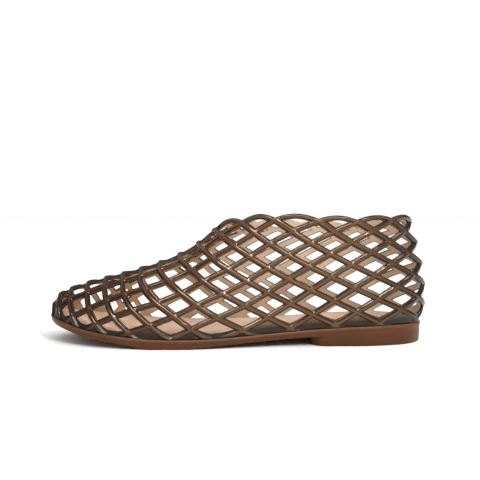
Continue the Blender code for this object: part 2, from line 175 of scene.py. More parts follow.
def readLast(part, name, at):  # smooth curve through one column of a table
    rows = lastShape[part]
    places, values, slopes = rows["places"], rows["values"][name], rows["slopes"][name]
    i = np.clip(np.searchsorted(places, at) - 1, 0, len(places) - 2)
    span = places[i + 1] - places[i]
    t = (at - places[i]) / span
    start = (1 + 2 * t) * (1 - t) ** 2 * values[i] + t * (1 - t) ** 2 * span * slopes[i]
    end = t * t * (3 - 2 * t) * values[i + 1] - t * t * (1 - t) * span * slopes[i + 1]
    return start + end


def soleHeight(x, name):  # straight runs keep the tread flat
    return np.interp(x, lastShape["sole"]["places"], lastShape["sole"]["values"][name])


def featherPlan(column, side, outset=0.0):  # the feather line from above, moved out, and which way is out
    step = 0.01

    def at(c):
        y = readLast("feather", "mid", c) + side * readLast("feather", "half", c)
        return np.stack([readLast("feather", "x", c), y], -1)

    along = at(np.minimum(column + step, backColumn)) - at(np.maximum(column - step, toeColumn))
    along /= np.linalg.norm(along, axis=-1, keepdims=True)
    outward = np.stack([-along[:, 1], along[:, 0]], -1) * side[:, None]
    outward[column <= toeColumn] = (-1, 0)
    outward[column >= backColumn] = (1, 0)
    return at(column) + outset * outward, outward


def slideInner(column, row, side):  # the inner side's strips lie a little further along the same wall
    footRow = readLast("feather", "row", column)
    rows = np.maximum(np.minimum(column, collarRow) - footRow, samePlace)
    climb = np.clip((row - footRow) / rows, 0, 1)
    beyond = row - footRow - climb * rows
    along = readLast("inner", "foot", column) * (1 - climb) * (1 - 2 * climb)
    along += readLast("inner", "middle", column) * 4 * climb * (1 - climb)
    along += readLast("inner", "top", column) * climb * (2 * climb - 1)
    column = np.clip(column + along * (side > 0), toeColumn, backColumn)
    climb = climb + readLast("inner", "lift", column) * np.sin(np.pi * climb) * (side > 0)
    footRow = readLast("feather", "row", column)
    return column, footRow + (np.minimum(column, collarRow) - footRow) * climb + beyond


def wallMiddle(column, row, side):  # where a place of the lattice lies, halfway through the wall
    drop = readLast("inner", "drop", column) * (side > 0)
    column, row = slideInner(column, row, side)
    foot, outward = featherPlan(column, side)
    footRow = readLast("feather", "row", column)
    rows = np.minimum(column, collarRow) - footRow
    climb = np.where(rows > samePlace, (row - footRow) / np.maximum(rows, samePlace), 0.0)
    share = np.clip(climb, 0, 1)
    turn = np.radians(readLast("wall", "turn", column))
    across = (1 - np.cos(turn * climb)) / (1 - np.cos(turn))
    rise = np.sin(turn * climb) / np.sin(turn)
    bulge = readLast("wall", "bulge", column) * np.sin(np.pi * share ** lastShape["bulgeSkew"])
    sway = readLast("wall", "sway", column) * np.sin(np.pi * share ** lastShape["swaySkew"])
    lean = np.maximum(climb, 0) ** readLast("wall", "lean", column)
    topY = readLast("topline", "mid", column) + side * readLast("topline", "half", column)
    base = soleHeight(foot[:, 0], "top") + lastShape["seatGap"]
    x = foot[:, 0] + (readLast("topline", "x", column) - foot[:, 0]) * lean + sway + outward[:, 0] * bulge
    y = foot[:, 1] + (topY - foot[:, 1]) * across + outward[:, 1] * bulge
    tuck = np.clip((share - lastShape["tuckFrom"]) / (1 - lastShape["tuckFrom"]), 0, 1)
    z = base + (readLast("topline", "height", column) - base) * rise + drop * tuck * tuck * (3 - 2 * tuck)
    return np.stack([x, y, z], -1)


def wallOutward(column, row, side):  # straight out of the wall
    step = 0.02
    column = np.maximum(column, toeColumn + 4 * step)
    forward = np.minimum(column + step, backColumn)
    lower = np.maximum(row, readLast("feather", "row", column)) - step
    along = wallMiddle(forward, lower, side) - wallMiddle(forward - 2 * step, lower, side)
    up = wallMiddle(column, lower + step, side) - wallMiddle(column, lower - step, side)
    normal = np.cross(up, along) * side[:, None]
    return normal / np.linalg.norm(normal, axis=-1, keepdims=True)


def fold(column, side):  # a place past the back lies on the other side
    return (2 * backColumn - column, -side) if column > backColumn else (column, side)


def onSeam(column, row):  # the two sides meet on the ridge and up the back
    onRidge = column <= throatColumn and abs(column - row) < samePlace
    return onRidge or abs(column - backColumn) < samePlace


def footRowAt(column):
    return float(readLast("feather", "row", min(column, 2 * backColumn - column)))


def soleWalk(stations):  # columns and sides once round the sole, from the toe
    columns = np.linspace(toeColumn, backColumn, stations + 1)
    sides = np.concatenate([-np.ones(stations + 1), np.ones(stations - 1)])
    return np.concatenate([columns, columns[-2:0:-1]]), sides


def shiftToFrame():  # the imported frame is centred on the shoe's box
    low, high = (np.array(corner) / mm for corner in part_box("outsole"))
    plan, _ = featherPlan(*soleWalk(outsoleValues["stations"]), outset=outsoleValues["margin"])
    shift = (low + high)[:2] / 2 - (plan.min(axis=0) + plan.max(axis=0)) / 2
    return np.array([*shift, 0.0])


def addNode(tree, kind, inputs=None, **settings):
    node = tree.nodes.new(kind)
    for name, value in settings.items():
        setattr(node, name, value)
    for name, value in (inputs or {}).items():
        if isinstance(value, bpy.types.NodeSocket):
            tree.links.new(value, node.inputs[name])
        else:
            node.inputs[name].default_value = value
    return node


def addMath(tree, operation, *values):
    return addNode(tree, "ShaderNodeMath", dict(enumerate(values)), operation=operation).outputs[0]


def addSpan(tree, value, start, end, low=0.0, high=1.0):  # start to end becomes low to high
    inputs = {"Value": value, "From Min": start, "From Max": end, "To Min": low, "To Max": high}
    return addNode(tree, "ShaderNodeMapRange", inputs).outputs[0]


def addRamp(tree, factor, stops):
    ramp = addNode(tree, "ShaderNodeValToRGB", {"Fac": factor})
    ramp.color_ramp.interpolation = "EASE"
    while len(ramp.color_ramp.elements) < len(stops):
        ramp.color_ramp.elements.new(0.5)
    for element, (place, colour) in zip(ramp.color_ramp.elements, stops):
        element.position = place
        element.color = (*colour, 1)
    return ramp.outputs["Color"]


def addMix(tree, factor, first, second, blend="MIX"):
    node = addNode(tree, "ShaderNodeMix", data_type="RGBA", blend_type=blend)
    colourSlots = (0, 6, 7)  # factor and the two colours
    for slot, value in zip(colourSlots, (factor, first, second)):
        if isinstance(value, bpy.types.NodeSocket):
            tree.links.new(value, node.inputs[slot])
        else:
            node.inputs[slot].default_value = value if slot == 0 else (*value, 1)
    return node.outputs[2]


def addNoise(tree, place, scale, detail=3.0):
    noise = addNode(tree, "ShaderNodeTexNoise", {"Vector": place, "Scale": scale, "Detail": detail})
    return noise.outputs["Fac"]


def newMaterial(name):
    material = bpy.data.materials.new(name)
    material.use_nodes = True
    tree = material.node_tree
    place = addNode(tree, "ShaderNodeTexCoord").outputs["Object"]
    return material, tree, tree.nodes["Principled BSDF"], place


def addTinted(tree, shader, colour, factor, stops):  # the colour, darker and lighter in places
    tint = addRamp(tree, factor, stops)
    tree.links.new(addMix(tree, 1.0, colour, tint, "MULTIPLY"), shader.inputs["Base Color"])


def addAttribute(tree, name):
    return addNode(tree, "ShaderNodeAttribute", attribute_name=name).outputs["Fac"]


def addLength(tree, place):
    return addNode(tree, "ShaderNodeSeparateXYZ", {"Vector": place}).outputs["X"]


def addBump(tree, shader, height, strength, depth):
    bump = addNode(tree, "ShaderNodeBump", {"Height": height, "Strength": strength, "Distance": depth})
    tree.links.new(bump.outputs["Normal"], shader.inputs["Normal"])


def addObject(name, data):
    thing = bpy.data.objects.new(name, data)
    bpy.context.scene.collection.objects.link(thing)
    return thing


def newPiece(name, mesh, node):
    piece = addObject(name, mesh)
    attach(piece, "root")
    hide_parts(node)


def turnFacesOut(mesh):
    work = bmesh.new()
    work.from_mesh(mesh)
    bmesh.ops.recalc_face_normals(work, faces=work.faces[:])
    work.to_mesh(mesh)
    work.free()


# Cage: one moulding of crossing strips
cageValues = {
    "stripWidth": 4.1,
    "ribHalf": 1.65,  # half width of the raised rib
    "flange": 0.3,  # height of the flat border round each opening
    "overCrest": 1.45,  # rib of the strips that pass over
    "underCrest": 0.85,
    "ridgeLift": 0.75,  # the strips stand higher where they cross the ridge
    "soften": 0.3,  # fillet where ribs meet
    "footBead": 0.3,  # low bead along the sole
    "footBeadWidth": 1.6,
    "innerFace": -1.2,  # from the middle of the wall
    "edgeSteps": (0.0, 0.07, 0.15, 0.3, 0.5, 0.7, 0.85, 0.93),  # points along each side of a cell
    "section": (  # across the strip from its middle line to the opening, and layer: outer 1, inner 0
        (0.22, 1.0), (0.42, 1.0), (0.56, 1.0), (0.67, 1.0), (0.77, 1.0), (0.86, 1.0), (0.95, 1.0),
        (1.0, 0.86), (1.0, 0.12), (0.94, 0.0), (0.5, 0.0),
    ),
    "webRings": (0.9, 0.8, 0.68, 0.5, 0.25),  # sizes of the rings that fill a closed cell
    "ribCurve": (  # across a rib from its middle, and share of its crest
        (0.0, 1.0), (0.28, 0.97), (0.55, 0.82), (0.78, 0.48), (0.92, 0.16), (1.0, 0.0),
    ),
    "footRound": 0.7,  # rows over which an opening's foot is rounded
    "ridgeColumns": 0.9,  # how far from the ridge the strips stand higher
    "ridgePast": 0.7,  # and how far past the throat
    "creaseDegrees": 48.0,
    "archRise": 0.4,  # rows from the collar's row to the top of its arches
    "archCellDrop": 0.15,  # the openings under the arches hang lower
    "rimRows": 0.23,  # half a strip above the arches
    "throatRim": 0.3,  # the same where the collar meets the ridge
    "firstOpenColumn": 0,  # the cells before it are closed
    "leastOpenRows": 0.4,  # cells with their middle lower above the feather line are closed
    "leastInnerRows": -0.3,  # the same on the inner side
    "innerRand": 0.25,  # share of the rand below the inner side's openings
    "smoothing": 3,  # rounds that even out the directions of the wall
}
cage = {"places": [], "strips": [], "faces": [], "found": {}, "edges": {}}
farAway = 1000.0


def cagePoint(key, cell, place, layer, rimSeam=False):  # a vertex, and how far it is from each strip's middle
    column, side = fold(place[0], cell["side"])
    row = place[1]
    seam = rimSeam or onSeam(column, row)
    if key:
        key = (key, 0 if seam else side, round(column, 4), round(row, 4))
        if key in cage["found"]:
            return cage["found"][key]
        cage["found"][key] = len(cage["places"])
    dc, dr = place[0] - cell["column"], row - cell["row"]
    toOver, toUnder = 1 - abs(dc + dr), 1 - abs(dc - dr)
    toRim, turn = farAway, 0.5
    if cell["row"] == collarRow:  # an arch closes this cell on top
        toOver, toUnder = abs(1 + dc + dr), abs(1 - dc + dr)
        rise = cageValues["archRise"]
        toRim = abs(collarRow + rise * (1 - dc * dc) - row) * cell["rowHeight"]
        turn = 0.5 + 0.5 * max(-1.0, min(1.0, dc))
    toFoot = (row - footRowAt(column)) * cell["rowHeight"]
    ridge = min(max(1 - (column - row) / cageValues["ridgeColumns"], 0.0), 1.0)
    ridge *= min(max(throatColumn + cageValues["ridgePast"] - column, 0.0), 1.0)
    toMiddles = (toOver * cell["radius"], toUnder * cell["radius"], toRim)
    cage["places"].append((column, row, side, seam))
    cage["strips"].append((layer, *toMiddles, turn, toFoot, ridge))
    return len(cage["places"]) - 1


def addFace(*corners):
    kept = [v for i, v in enumerate(corners) if v != corners[i - 1]]
    if len(kept) > 2:
        cage["faces"].append(kept)


def addBand(first, second):
    for i in range(len(first)):
        addFace(first[i - 1], first[i], second[i], second[i - 1])


def cellOutline(column, row):
    corners = ((-1, 0), (0, -1), (1, 0), (0, 1))
    places = []
    for (a, b), (c, d) in zip(corners, corners[1:] + corners[:1]):
        for s in cageValues["edgeSteps"]:
            dc, dr = a + (c - a) * s, b + (d - b) * s
            if row == collarRow and dr > 0:
                dr = cageValues["archRise"] * (1 - dc * dc)
            places.append((column + dc, row + dr))
    return places


def measureCell(column, row, side):  # size of the circle that the cell would take, and of one row
    corners = []
    for c, r in ((column - 1, row), (column, row - 1), (column + 1, row), (column, row + 1)):
        if row == collarRow and r > row:
            r = row + cageValues["archRise"]
        c, s = fold(c, side)
        corners.append(wallMiddle(np.array([float(c)]), np.array([float(r)]), np.array([float(s)]))[0])
    across, along = corners[2] - corners[0], corners[3] - corners[1]
    area = 0.5 * np.linalg.norm(np.cross(across, along))
    perimeter = sum(np.linalg.norm(corners[i] - corners[i - 1]) for i in range(4))
    rows = 1 + (cageValues["archRise"] if row == collarRow else 1)
    return {"column": column, "row": row, "side": side, "radius": 2 * area / perimeter,
            "rowHeight": np.linalg.norm(along) / rows}


def settle(column, row):  # places stay on or above the feather line
    if column <= toeColumn:
        return toeColumn, toeColumn
    return column, max(row, footRowAt(column))


def withoutSpikes(outline):  # drops repeats, and lines that run out along the foot and back
    kept = list(outline)
    i = checked = 0
    while checked < len(kept):
        i %= len(kept)
        before, here, after = kept[i - 1], kept[i], kept[(i + 1) % len(kept)]
        if math.dist(here, after) < samePlace or math.dist(before, after) < samePlace:
            kept.pop(i)
            checked = 0
        else:
            i += 1
            checked += 1
    return kept


def holeOutline(cell, outline):  # drawn in by half a strip, and rounded where it meets the rand
    column, row = cell["column"], cell["row"]
    randShare = cageValues["innerRand"] if cell["side"] > 0 else 1.0
    footRound = cageValues["footRound"] * randShare
    keep = 1 - 0.5 * cageValues["stripWidth"] / cell["radius"]
    middle = row - cageValues["archCellDrop"] if row == collarRow else row
    places = []
    for c, r in outline:
        c, r = column + keep * (c - column), middle + keep * (r - middle)
        near, _ = fold(c, 1)
        rand = footRowAt(c) + float(readLast("rand", "rows", near)) * randShare
        blend = max(footRound - abs(r - rand), 0.0)
        places.append((c, max(r, rand) + blend * blend / (4 * footRound)))
    return places


def latticeCells():  # every second place of the lattice is the middle of a cell
    lowest = math.floor(toeColumn)
    for side in (-1, 1):
        for column in range(lowest, backColumn):
            for row in range(lowest - 1, min(column, collarRow + 1)):
                if (column + row) % 2 and row + 1 > footRowAt(max(column, toeColumn)) + leastRows:
                    yield column, row, side
    for row in range(-1, collarRow, 2):  # up the back, where a cell lies on both sides
        yield backColumn, row, -1


def addOpening(cell, outline, outer, inner):
    rings = [outer]
    hole = np.array(holeOutline(cell, outline))
    for across, layer in cageValues["section"]:
        places = np.array(outline) + (hole - np.array(outline)) * across
        rings.append([cagePoint(None, cell, place, layer) for place in places.tolist()])
    for first, second in zip(rings, rings[1:] + [inner]):
        addBand(first, second)


def addWeb(cell, outline, outer, inner):  # a closed cell
    middle = np.mean(np.array(list(dict.fromkeys(outline))), axis=0)
    for layer, ring in ((1.0, outer), (0.0, inner)):
        for size in cageValues["webRings"]:
            places = middle + (np.array(outline) - middle) * size
            smaller = [cagePoint(None, cell, place, layer) for place in places.tolist()]
            addBand(ring, smaller)
            ring = smaller
        centre = cagePoint(None, cell, tuple(middle.tolist()), layer)
        for i in range(len(ring)):
            addFace(ring[i - 1], ring[i], centre)


def addCell(column, row, side):
    cell = measureCell(column, row, side)
    outline = withoutSpikes([settle(*place) for place in cellOutline(column, row)])
    outer = [cagePoint("outer", cell, place, 1.0) for place in outline]
    inner = [cagePoint("inner", cell, place, 0.0) for place in outline]
    for i in range(len(outline)):
        edge = frozenset((outer[i - 1], outer[i]))
        if len(edge) == 2:
            step = (cell, outline[i - 1], outline[i], outer[i - 1], outer[i], inner[i - 1], inner[i])
            cage["edges"].setdefault(edge, []).append(step)
    openFrom = cageValues["leastOpenRows"] if side < 0 else cageValues["leastInnerRows"]
    isOpen = column >= cageValues["firstOpenColumn"] and row - footRowAt(column) > openFrom
    fillCell = addOpening if isOpen else addWeb
    fillCell(cell, outline, outer, inner)


def rimRing(cell, place, across, layer):  # the collar's edge, half a strip above the arch
    column, row = place
    if abs(column - throatColumn) < samePlace:
        lift = cageValues["throatRim"] * across
        return cagePoint(("rim", across, layer), cell, (column + lift, row + lift), layer, rimSeam=True)
    return cagePoint(("rim", across, layer), cell, (column, row + cageValues["rimRows"] * across), layer)


def closeEdges():
    for steps in cage["edges"].values():
        if len(steps) > 1:
            continue
        cell, first, second, outerA, outerB, innerA, innerB = steps[0]
        if min(first[1], second[1]) < collarRow - leastRows:  # underside at the feather line
            addFace(outerA, outerB, innerB, innerA)
            continue
        lastA, lastB = outerA, outerB
        for across, layer in cageValues["section"]:
            nextA, nextB = (rimRing(cell, place, across, layer) for place in (first, second))
            addFace(lastA, lastB, nextB, nextA)
            lastA, lastB = nextA, nextB
        addFace(lastA, lastB, innerB, innerA)


def cageMesh():  # every vertex lies on the wall's middle surface until the strips are raised
    for column, row, side in latticeCells():
        addCell(column, row, side)
    closeEdges()
    places = np.array(cage["places"], float)
    column, row, side = places[:, 0], places[:, 1], places[:, 2]
    seam = places[:, 3] > 0
    middle = wallMiddle(column, row, side)
    outward = wallOutward(column, row, side)
    middle[seam] = (middle[seam] + wallMiddle(column[seam], row[seam], -side[seam])) / 2
    outward[seam] += wallOutward(column[seam], row[seam], -side[seam])
    outward /= np.linalg.norm(outward, axis=-1, keepdims=True)
    mesh = bpy.data.meshes.new("cage")
    mesh.from_pydata(((middle + shoeShift) * mm).tolist(), [], cage["faces"])
    attribute = mesh.attributes.new("outward", "FLOAT_VECTOR", "POINT")
    attribute.data.foreach_set("vector", outward.astype(np.float32).ravel())
    strips = np.array(cage["strips"], np.float32)
    for i, name in enumerate(("layer", "toOver", "toUnder", "toRim", "turn", "toFoot", "ridge")):
        values = strips[:, i] * (mm if name.startswith("to") else 1)
        mesh.attributes.new(name, "FLOAT", "POINT").data.foreach_set("value", values.astype(np.float32))
    return mesh


stripLengths = {  # inputs of the node group, and the values that they take
    "Over crest": "overCrest",
    "Under crest": "underCrest",
    "Ridge lift": "ridgeLift",
    "Rib half": "ribHalf",
    "Flange": "flange",
    "Soften": "soften",
    "Inner face": "innerFace",
    "Foot bead": "footBead",
    "Foot bead width": "footBeadWidth",
}


def stripTree():  # raises ribs along the strips and gives the wall its thickness
    tree = bpy.data.node_groups.new("mouldedStrips", "GeometryNodeTree")

    def newSocket(name, kind, way="INPUT"):
        return tree.interface.new_socket(name, in_out=way, socket_type="NodeSocket" + kind)

    newSocket("Geometry", "Geometry", "OUTPUT")
    sockets = {"Geometry": newSocket("Geometry", "Geometry")}
    for name in stripLengths:
        sockets[name] = newSocket(name, "Float")
    sockets["Smoothing"] = newSocket("Smoothing", "Int")
    sockets["Finish"] = newSocket("Finish", "Material")
    given = tree.nodes.new("NodeGroupInput").outputs

    def stored(name, kind="FLOAT"):
        node = addNode(tree, "GeometryNodeInputNamedAttribute", {"Name": name}, data_type=kind)
        return node.outputs["Attribute"]

    def crown(distance, half):  # 1 along the middle of a rib, 0 past its foot
        share = addMath(tree, "MINIMUM", addMath(tree, "DIVIDE", distance, half), 1.0)
        node = addNode(tree, "ShaderNodeFloatCurve", {"Value": share})
        points = node.mapping.curves[0].points
        while len(points) < len(cageValues["ribCurve"]):
            points.new(0.5, 0.5)
        for point, place in zip(points, cageValues["ribCurve"]):
            point.location = place
        node.mapping.update()
        return node.outputs[0]

    crowns = [crown(stored(name), given["Rib half"]) for name in ("toOver", "toUnder", "toRim")]
    gain = addMath(tree, "SUBTRACT", given["Over crest"], given["Under crest"])
    rimCrest = addMath(tree, "MULTIPLY_ADD", stored("turn"), gain, given["Under crest"])
    overCrest = addMath(tree, "MULTIPLY_ADD", stored("ridge"), given["Ridge lift"], given["Over crest"])
    crests = (overCrest, given["Under crest"], rimCrest)
    over, under, rim = (addMath(tree, "MULTIPLY", share, crest) for share, crest in zip(crowns, crests))
    bead = addMath(tree, "MULTIPLY", crown(stored("toFoot"), given["Foot bead width"]), given["Foot bead"])
    crossing = addMath(tree, "SMOOTH_MAX", over, under, given["Soften"])
    ribs = addMath(tree, "SMOOTH_MAX", crossing, rim, given["Soften"])
    raised = addMath(tree, "ADD", addMath(tree, "ADD", ribs, bead), given["Flange"])
    depth = addMath(tree, "SUBTRACT", raised, given["Inner face"])
    height = addMath(tree, "MULTIPLY_ADD", depth, stored("layer"), given["Inner face"])
    blur = addNode(tree, "GeometryNodeBlurAttribute",
                   {"Value": stored("outward", "FLOAT_VECTOR"), "Iterations": given["Smoothing"]},
                   data_type="FLOAT_VECTOR")
    outward = addNode(tree, "ShaderNodeVectorMath", {0: blur.outputs["Value"]}, operation="NORMALIZE")
    lift = {0: outward.outputs[0], "Scale": height}
    offset = addNode(tree, "ShaderNodeVectorMath", lift, operation="SCALE").outputs[0]
    share = addMath(tree, "MAXIMUM", addMath(tree, "MAXIMUM", crowns[0], crowns[1]), crowns[2])
    keep = addNode(tree, "GeometryNodeStoreNamedAttribute",
                   {"Geometry": given["Geometry"], "Name": "rib", "Value": share},
                   data_type="FLOAT", domain="POINT")
    move = addNode(tree, "GeometryNodeSetPosition", {"Geometry": keep.outputs[0], "Offset": offset})
    smooth = addNode(tree, "GeometryNodeSetShadeSmooth", {"Geometry": move.outputs[0]})
    whole = addNode(tree, "GeometryNodeRealizeInstances", {"Geometry": smooth.outputs[0]})
    finish = addNode(tree, "GeometryNodeSetMaterial",
                     {"Geometry": whole.outputs[0], "Material": given["Finish"]})
    addNode(tree, "NodeGroupOutput", {"Geometry": finish.outputs[0]})
    return tree, {name: socket.identifier for name, socket in sockets.items()}


jellyValues = {
    "across": (  # colour from the border of an opening to the crest of a rib: a lighter border, partly the thin jelly's own tint and partly painted highlight, painted shade down the rib's sides, brown on the crest
        (0.0, (0.13, 0.075, 0.042)), (0.06, (0.006, 0.003, 0.002)), (0.5, (0.014, 0.006, 0.003)),
        (0.84, (0.075, 0.034, 0.016)), (1.0, (0.11, 0.053, 0.026)),
    ),
    # the inner face: painted shade along the edges of the openings, tan on the strips
    "inside": (
        (0.0, (0.03, 0.017, 0.01)), (0.2, (0.045, 0.026, 0.016)), (0.4, (0.5, 0.38, 0.28)),
        (0.6, (0.56, 0.43, 0.32)),
    ),
    "outsideLayers": (0.02, 0.1),  # the inside's colour turns into the outside's between these
    "plainFoot": (0.0105, 0.0085),  # metres above the sole: below them the inside has no stripes
    "rand": (0.01, 0.0095, 0.0074),
    "randFoot": (0.0065, 0.0035),
    "soleLineShade": (0.006, 0.005, 0.004),  # painted shadow: a thin dark line where the wall meets the sole
    "paintedShadowFoot": (0.0016, 0.0007),
    "along": (  # painted shade: the wall is darker where it turns round the toe and the heel
        (0.0, (0.28, 0.23, 0.18)), (0.18, (0.5, 0.45, 0.4)), (0.34, (0.8, 0.77, 0.74)), (0.5, (1, 1, 1)),
        (0.78, (1, 1, 1)), (0.88, (0.66, 0.63, 0.6)), (0.97, (0.25, 0.21, 0.18)),
    ),
    "alongLength": (-0.128, 0.128),
    "cloud": (45.0, 4.0),  # scale and detail of a noise
    "cloudTint": ((0.25, (0.86, 0.84, 0.82)), (0.75, (1.12, 1.1, 1.06))),
    "roughness": (0.11, 0.18),
    "roughnessScale": 160.0,
    "roughFoot": 0.25,  # the foot of the wall shines less
    "specular": 0.4,
    "specularTint": (1, 0.82, 0.64, 1),
    "grain": (700.0, 2.0),
    "grainBump": (0.12, 0.0002),
}


def jellyFinish():
    material, tree, shader, place = newMaterial("smokyJelly")
    rib, layer, toFoot = (addAttribute(tree, name) for name in ("rib", "layer", "toFoot"))
    # the strip's colour, with painted highlight on the border and painted shade on the rib's sides
    stripe = addRamp(tree, rib, jellyValues["across"])
    low = addSpan(tree, toFoot, *jellyValues["randFoot"])
    bare = addMath(tree, "SUBTRACT", 1.0, rib)
    stripe = addMix(tree, addMath(tree, "MULTIPLY", low, bare), stripe, jellyValues["rand"])
    # painted shadow along the foot of the wall, where it meets the sole
    lowest = addSpan(tree, toFoot, *jellyValues["paintedShadowFoot"])
    stripe = addMix(tree, lowest, stripe, jellyValues["soleLineShade"])
    # painted shade, darker towards the toe and the heel
    length = addSpan(tree, addLength(tree, place), *jellyValues["alongLength"])
    stripe = addMix(tree, 1.0, stripe, addRamp(tree, length, jellyValues["along"]), "MULTIPLY")
    plain = addSpan(tree, toFoot, *jellyValues["plainFoot"])
    plainColour = jellyValues["inside"][-1][1]
    # the inner face, with painted shade round the openings
    inside = addMix(tree, plain, addRamp(tree, rib, jellyValues["inside"]), plainColour)
    outside = addSpan(tree, layer, *jellyValues["outsideLayers"])
    body = addMix(tree, outside, inside, stripe)
    addTinted(tree, shader, body, addNoise(tree, place, *jellyValues["cloud"]), jellyValues["cloudTint"])
    rough = addNoise(tree, place, jellyValues["roughnessScale"])
    rough = addSpan(tree, rough, 0.0, 1.0, *jellyValues["roughness"])
    duller = addMath(tree, "MULTIPLY_ADD", low, jellyValues["roughFoot"], rough)
    tree.links.new(duller, shader.inputs["Roughness"])
    shader.inputs["Specular IOR Level"].default_value = jellyValues["specular"]
    shader.inputs["Specular Tint"].default_value = jellyValues["specularTint"]
    addBump(tree, shader, addNoise(tree, place, *jellyValues["grain"]), *jellyValues["grainBump"])
    return material


def makeCage():
    flat = addObject("cage", cageMesh())
    tree, keys = stripTree()
    raising = flat.modifiers.new("mouldedStrips", "NODES")
    raising.node_group = tree
    for name, value in stripLengths.items():
        raising[keys[name]] = cageValues[value] * mm
    raising[keys["Smoothing"]] = cageValues["smoothing"]
    raising[keys["Finish"]] = jellyFinish()
    graph = bpy.context.evaluated_depsgraph_get()
    raised = flat.evaluated_get(graph)
    mesh = bpy.data.meshes.new_from_object(raised, preserve_all_data_layers=True, depsgraph=graph)
    bpy.data.objects.remove(flat)
    turnFacesOut(mesh)
    mesh.set_sharp_from_angle(angle=math.radians(cageValues["creaseDegrees"]))
    for name in ("toOver", "toUnder", "toRim", "turn", "ridge", "outward"):
        mesh.attributes.remove(mesh.attributes[name])
    print("cage:", len(mesh.polygons), "faces")
    newPiece("jellyCage", mesh, "upper")


# Outsole: moulded edge with a welt step, drawn from the last's feather line
outsoleValues = {
    "margin": 2.4,
    "stations": 150,
    "profile": (  # inset from the edge, and place down the side: 0 top face, 1 underside, with an added drop
        (0.9, 0.0, 0.0), (0.5, 0.0, 0.05), (0.18, 0.0, 0.25), (0.0, 0.0, 0.6), (0.0, 0.0, 1.75),
        (0.1, 0.0, 2.0), (0.45, 0.0, 2.15), (0.5, 0.0, 2.4), (0.5, 1.0, -1.1), (0.62, 1.0, -0.55),
        (0.95, 1.0, -0.18), (1.5, 1.0, 0.0),
    ),
    "sideInset": 0.5,
    "heelFade": (40.0, 54.0),  # the rounded tread edge runs out here, and the heel carries on flush
    "shadeDepth": 10.0,  # millimetres down that the whole run of colours stands for
    "creaseDegrees": 40.0,  # for the insole and the heel too
}


def soleRing(inset, height, stations):  # once round the sole
    columns, sides = soleWalk(stations)
    outset = np.broadcast_to(outsoleValues["margin"] - inset, columns.shape)
    plan, _ = featherPlan(columns, sides, outset[:, None])
    return np.column_stack([plan, height(plan[:, 0])])


def ringMesh(name, rings, filler, heights=None):  # skin from ring to ring, closed at both ends
    count = len(rings[0])
    points = (np.concatenate(rings) + shoeShift) * mm
    faces = []
    starts = range(0, len(rings) * count, count)
    for upper, lower in zip(starts, starts[1:]):
        for i in range(count):
            j = (i + 1) % count
            faces.append((upper + i, upper + j, lower + j, lower + i))
    for start in (starts[0], starts[-1]):
        for corners in filler(count):
            faces.append([start + v for i, v in enumerate(corners) if v != corners[i - 1]])
    mesh = bpy.data.meshes.new(name)
    mesh.from_pydata(points.tolist(), [], faces)
    if heights is not None:
        spread = np.repeat(np.array(heights, np.float32), count)
        mesh.attributes.new("down", "FLOAT", "POINT").data.foreach_set("value", spread)
    turnFacesOut(mesh)
    mesh.shade_smooth()
    mesh.set_sharp_from_angle(angle=math.radians(outsoleValues["creaseDegrees"]))
    return mesh


def rungs(count):  # faces straight across a ring that starts and ends in a point
    return [(i, i + 1, (count - 1 - i) % count, -i % count) for i in range(count // 2)]


rubberValues = {
    "down": (  # colour from the welt to the floor: a painted highlight along the top edge, then painted shade, darker towards the floor
        (0.0, (0.18, 0.076, 0.037)), (0.06, (0.115, 0.042, 0.018)), (0.24, (0.088, 0.031, 0.012)),
        (0.5, (0.075, 0.025, 0.009)), (1.0, (0.066, 0.022, 0.008)),
    ),
    "cloud": (30.0, 5.0),  # scale and detail of a noise
    "cloudTint": ((0.3, (0.88, 0.87, 0.86)), (0.7, (1.1, 1.08, 1.06))),
    "roughness": (0.34, 0.52),
    "roughnessScale": 220.0,
    "specular": 0.25,
    "specularTint": (1, 0.8, 0.62, 1),
    "grain": (900.0, 3.0),
    "grainBump": (0.15, 0.0002),
}


def soleFinish(name):
    material, tree, shader, place = newMaterial(name)
    # painted highlight at the top edge and painted shade towards the floor
    side = addRamp(tree, addAttribute(tree, "down"), rubberValues["down"])
    addTinted(tree, shader, side, addNoise(tree, place, *rubberValues["cloud"]), rubberValues["cloudTint"])
    rough = addNoise(tree, place, rubberValues["roughnessScale"])
    rough = addSpan(tree, rough, 0.0, 1.0, *rubberValues["roughness"])
    tree.links.new(rough, shader.inputs["Roughness"])
    shader.inputs["Specular IOR Level"].default_value = rubberValues["specular"]
    shader.inputs["Specular Tint"].default_value = rubberValues["specularTint"]
    addBump(tree, shader, addNoise(tree, place, *rubberValues["grain"]), *rubberValues["grainBump"])
    return material


def makeOutsole():
    rings, heights = [], []
    columns, _ = soleWalk(outsoleValues["stations"])
    start, end = outsoleValues["heelFade"]
    onHeel = np.clip((readLast("feather", "x", columns) - start) / (end - start), 0, 1)
    for inset, share, drop in outsoleValues["profile"]:
        def height(x):
            top, bottom = soleHeight(x, "top"), soleHeight(x, "bottom")
            return top + (bottom - top) * share - drop
        if share == 1:
            inset = inset + (outsoleValues["sideInset"] - inset) * onHeel
        rings.append(soleRing(inset, height, outsoleValues["stations"]))
        # 0 at the top edge takes the painted highlight, lower rows take painted shade
        heights.append(0.5 * share + drop / outsoleValues["shadeDepth"])
    mesh = ringMesh("outsole", rings, rungs, heights)
    mesh.materials.append(soleFinish("redBrownSole"))
    print("outsole:", len(mesh.polygons), "faces")
    newPiece("mouldedSole", mesh, "outsole")


